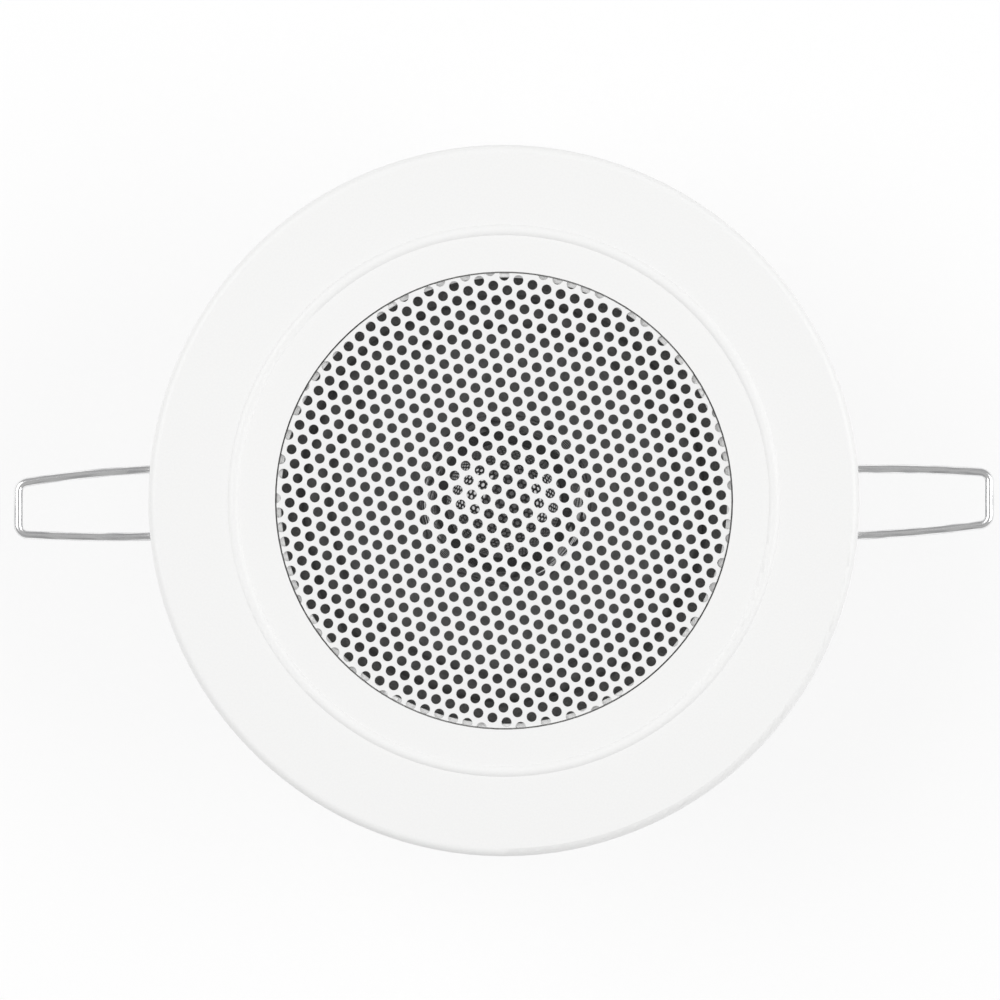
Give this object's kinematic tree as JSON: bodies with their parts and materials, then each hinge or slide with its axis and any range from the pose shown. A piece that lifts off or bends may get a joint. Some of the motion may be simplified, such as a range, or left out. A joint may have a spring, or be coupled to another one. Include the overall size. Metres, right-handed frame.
{
  "type": "in-ceiling speaker",
  "caption": "Round white in-ceiling speaker: flanged trim ring with a perforated metal grille, a cone driver with ring magnet behind it, and sprung wire clips that clamp a ceiling panel.",
  "frame": {"origin": "centre of the flange's rear face, the plane that seats on the ceiling panel, on the speaker's axis", "axes": "+Z out of the grille into the room, +X through the right-hand spring clip in the picture, +Y to the top of the picture; the part stands grille up on its magnet, and is turned over when it hangs in a ceiling"},
  "size_m": [0.1988, 0.144, 0.0596],
  "materials": {
    "white_abs": "satin moulded white",
    "white_painted_steel": "satin white powder coat",
    "black_foam": "matte closed-cell foam",
    "black_painted_steel": "semi-gloss black",
    "black_rubber": "matte",
    "spider_cloth": "resin-stiffened weave",
    "zinc_steel": "bright zinc plate",
    "ferrite": "ground sintered ferrite",
    "phenolic": "laminated phenolic paper",
    "terminal_brass": "pressed brass",
    "tinsel": "braided tinsel",
    "black_paper": "pressed paper pulp",
    "gloss_black": "gloss",
    "former_aluminium": "rolled foil",
    "copper_winding": "enamelled copper wire",
    "spring_steel": "polished spring wire"
  },
  "bodies": {
    "housing": {"trim_ring": "white_abs", "grille": "white_painted_steel", "gasket": "black_foam", "basket": "black_painted_steel", "surround": "black_rubber", "spider": "spider_cloth", "top_plate": "zinc_steel", "magnet": "ferrite", "yoke": "zinc_steel", "basket_rivets": "zinc_steel", "terminal_board": "phenolic", "terminal_rivet": "zinc_steel", "positive_terminal": "terminal_brass", "negative_terminal": "terminal_brass", "positive_lead": "tinsel", "negative_lead": "tinsel", "driver_screws": "zinc_steel", "right_bracket": "zinc_steel", "left_bracket": "zinc_steel", "right_pivot": "zinc_steel", "left_pivot": "zinc_steel", "bracket_screws": "zinc_steel"},
    "cone_assembly": {"cone": "black_paper", "dust_cap": "gloss_black", "voice_coil_former": "former_aluminium", "voice_coil": "copper_winding"},
    "right_clip": {"right_spring_clip": "spring_steel"},
    "left_clip": {"left_spring_clip": "spring_steel"}
  },
  "joints": [
    {"name": "cone_travel", "type": "slide", "parent": "housing", "child": "cone_assembly", "axis": [0, 0, 1], "range_m": [-0.002, 0.002], "stiffness_N_per_m": 1500, "deforming": ["surround", "spider", "positive_lead", "negative_lead"]},
    {"name": "right_clip_fold", "type": "hinge", "parent": "housing", "child": "right_clip", "pos_m": [0.05645, 0, -0.01], "axis": [0, 1, 0], "range_deg": [0, 95], "stiffness_Nm_per_rad": 0.5, "deforming": ["right_spring_clip"]},
    {"name": "left_clip_fold", "type": "hinge", "parent": "housing", "child": "left_clip", "pos_m": [-0.05645, 0, -0.01], "axis": [0, -1, 0], "range_deg": [0, 95], "stiffness_Nm_per_rad": 0.5, "deforming": ["left_spring_clip"]}
  ]
}
